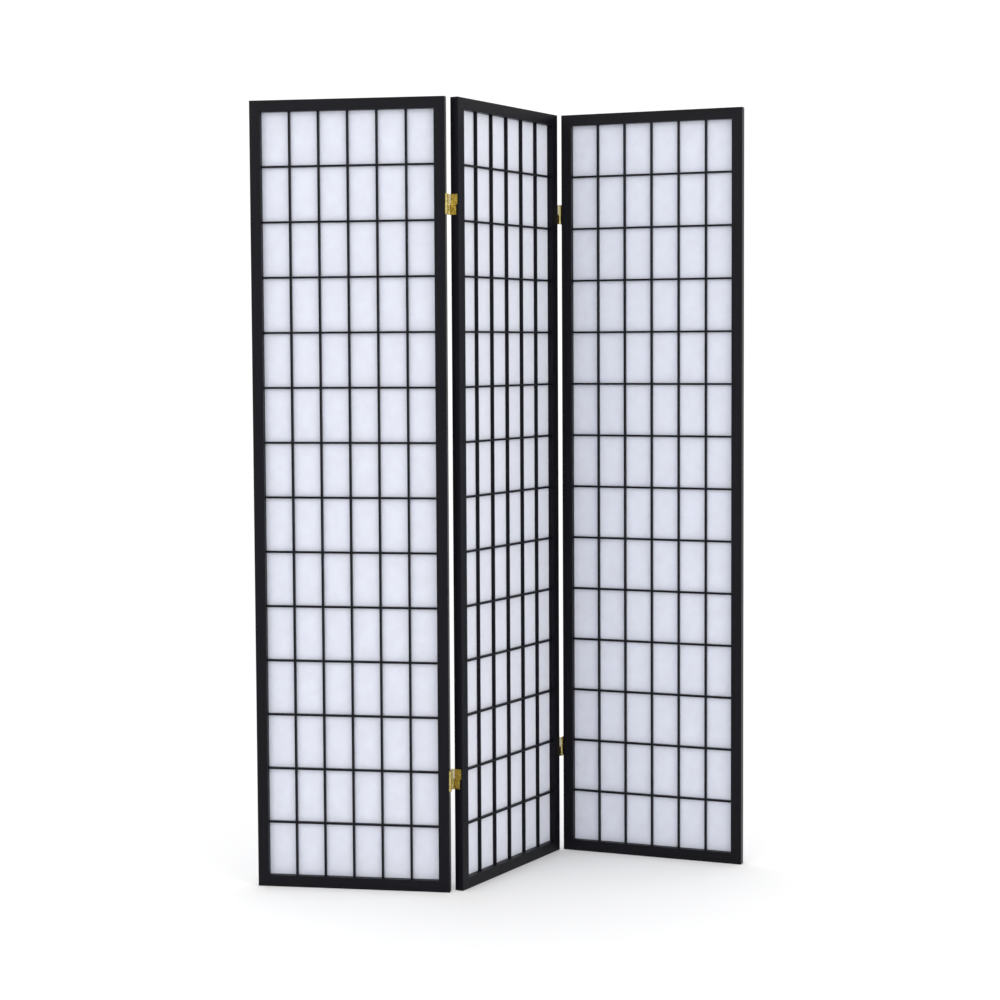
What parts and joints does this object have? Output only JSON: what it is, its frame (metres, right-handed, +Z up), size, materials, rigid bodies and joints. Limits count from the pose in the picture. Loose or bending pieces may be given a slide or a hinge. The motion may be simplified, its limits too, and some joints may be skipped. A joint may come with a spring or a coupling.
{
  "type": "folding screen",
  "caption": "Free-standing shoji folding screen: black wooden frames with halved lattices backed by white paper, joined by brass two-way hinges.",
  "frame": {"origin": "centre of the footprint's box, on the floor", "axes": "+Z up, +X to the right and -Y towards someone who faces the front of the screen"},
  "size_m": [1.089, 0.4708, 1.784],
  "materials": {
    "black_wood": "black satin paint on fine-grained softwood",
    "paper": "white fibre paper, matt, slightly translucent",
    "brass": "brass-plated pressed steel, satin"
  },
  "bodies": {
    "left_panel": {"left_panel_paper": "paper", "left_panel_paper_beads": "black_wood", "left_panel_rail_bottom": "black_wood", "left_panel_rail_top": "black_wood", "left_panel_slat_upright_1": "black_wood", "left_panel_slat_upright_2": "black_wood", "left_panel_slat_upright_3": "black_wood", "left_panel_slat_upright_4": "black_wood", "left_panel_slat_upright_5": "black_wood", "left_panel_slats_level": "black_wood", "left_panel_stile_left": "black_wood", "left_panel_stile_right": "black_wood", "left_fold_lower_leaf_left": "brass", "left_fold_upper_leaf_left": "brass"},
    "left_fold_link": {"left_fold_lower_link": "brass", "left_fold_upper_link": "brass", "left_fold_hinge_pins": "brass"},
    "middle_panel": {"middle_panel_paper": "paper", "middle_panel_paper_beads": "black_wood", "middle_panel_rail_bottom": "black_wood", "middle_panel_rail_top": "black_wood", "middle_panel_slat_upright_1": "black_wood", "middle_panel_slat_upright_2": "black_wood", "middle_panel_slat_upright_3": "black_wood", "middle_panel_slat_upright_4": "black_wood", "middle_panel_slat_upright_5": "black_wood", "middle_panel_slats_level": "black_wood", "middle_panel_stile_left": "black_wood", "middle_panel_stile_right": "black_wood", "left_fold_lower_leaf_right": "brass", "left_fold_upper_leaf_right": "brass", "right_fold_lower_leaf_left": "brass", "right_fold_upper_leaf_left": "brass"},
    "right_fold_link": {"right_fold_lower_link": "brass", "right_fold_upper_link": "brass", "right_fold_hinge_pins": "brass"},
    "right_panel": {"right_panel_paper": "paper", "right_panel_paper_beads": "black_wood", "right_panel_rail_bottom": "black_wood", "right_panel_rail_top": "black_wood", "right_panel_slat_upright_1": "black_wood", "right_panel_slat_upright_2": "black_wood", "right_panel_slat_upright_3": "black_wood", "right_panel_slat_upright_4": "black_wood", "right_panel_slat_upright_5": "black_wood", "right_panel_slats_level": "black_wood", "right_panel_stile_left": "black_wood", "right_panel_stile_right": "black_wood", "right_fold_lower_leaf_right": "brass", "right_fold_upper_leaf_right": "brass"}
  },
  "joints": [
    {"name": "left_fold_front", "type": "hinge", "parent": "left_panel", "child": "left_fold_link", "pos_m": [-0.09525, -0.23218, 0.892], "axis": [0, 0, -1], "range_deg": [0, 100]},
    {"name": "left_fold_back", "type": "hinge", "parent": "left_fold_link", "child": "middle_panel", "pos_m": [-0.09525, -0.20418, 0.892], "axis": [0, 0, 1], "range_deg": [-68, 112]},
    {"name": "right_fold_front", "type": "hinge", "parent": "middle_panel", "child": "right_fold_link", "pos_m": [0.10018, 0.20479, 0.892], "axis": [0, 0, -1], "range_deg": [-80, 100]},
    {"name": "right_fold_back", "type": "hinge", "parent": "right_fold_link", "child": "right_panel", "pos_m": [0.106, 0.23218, 0.892], "axis": [0, 0, 1], "range_deg": [0, 100]}
  ]
}
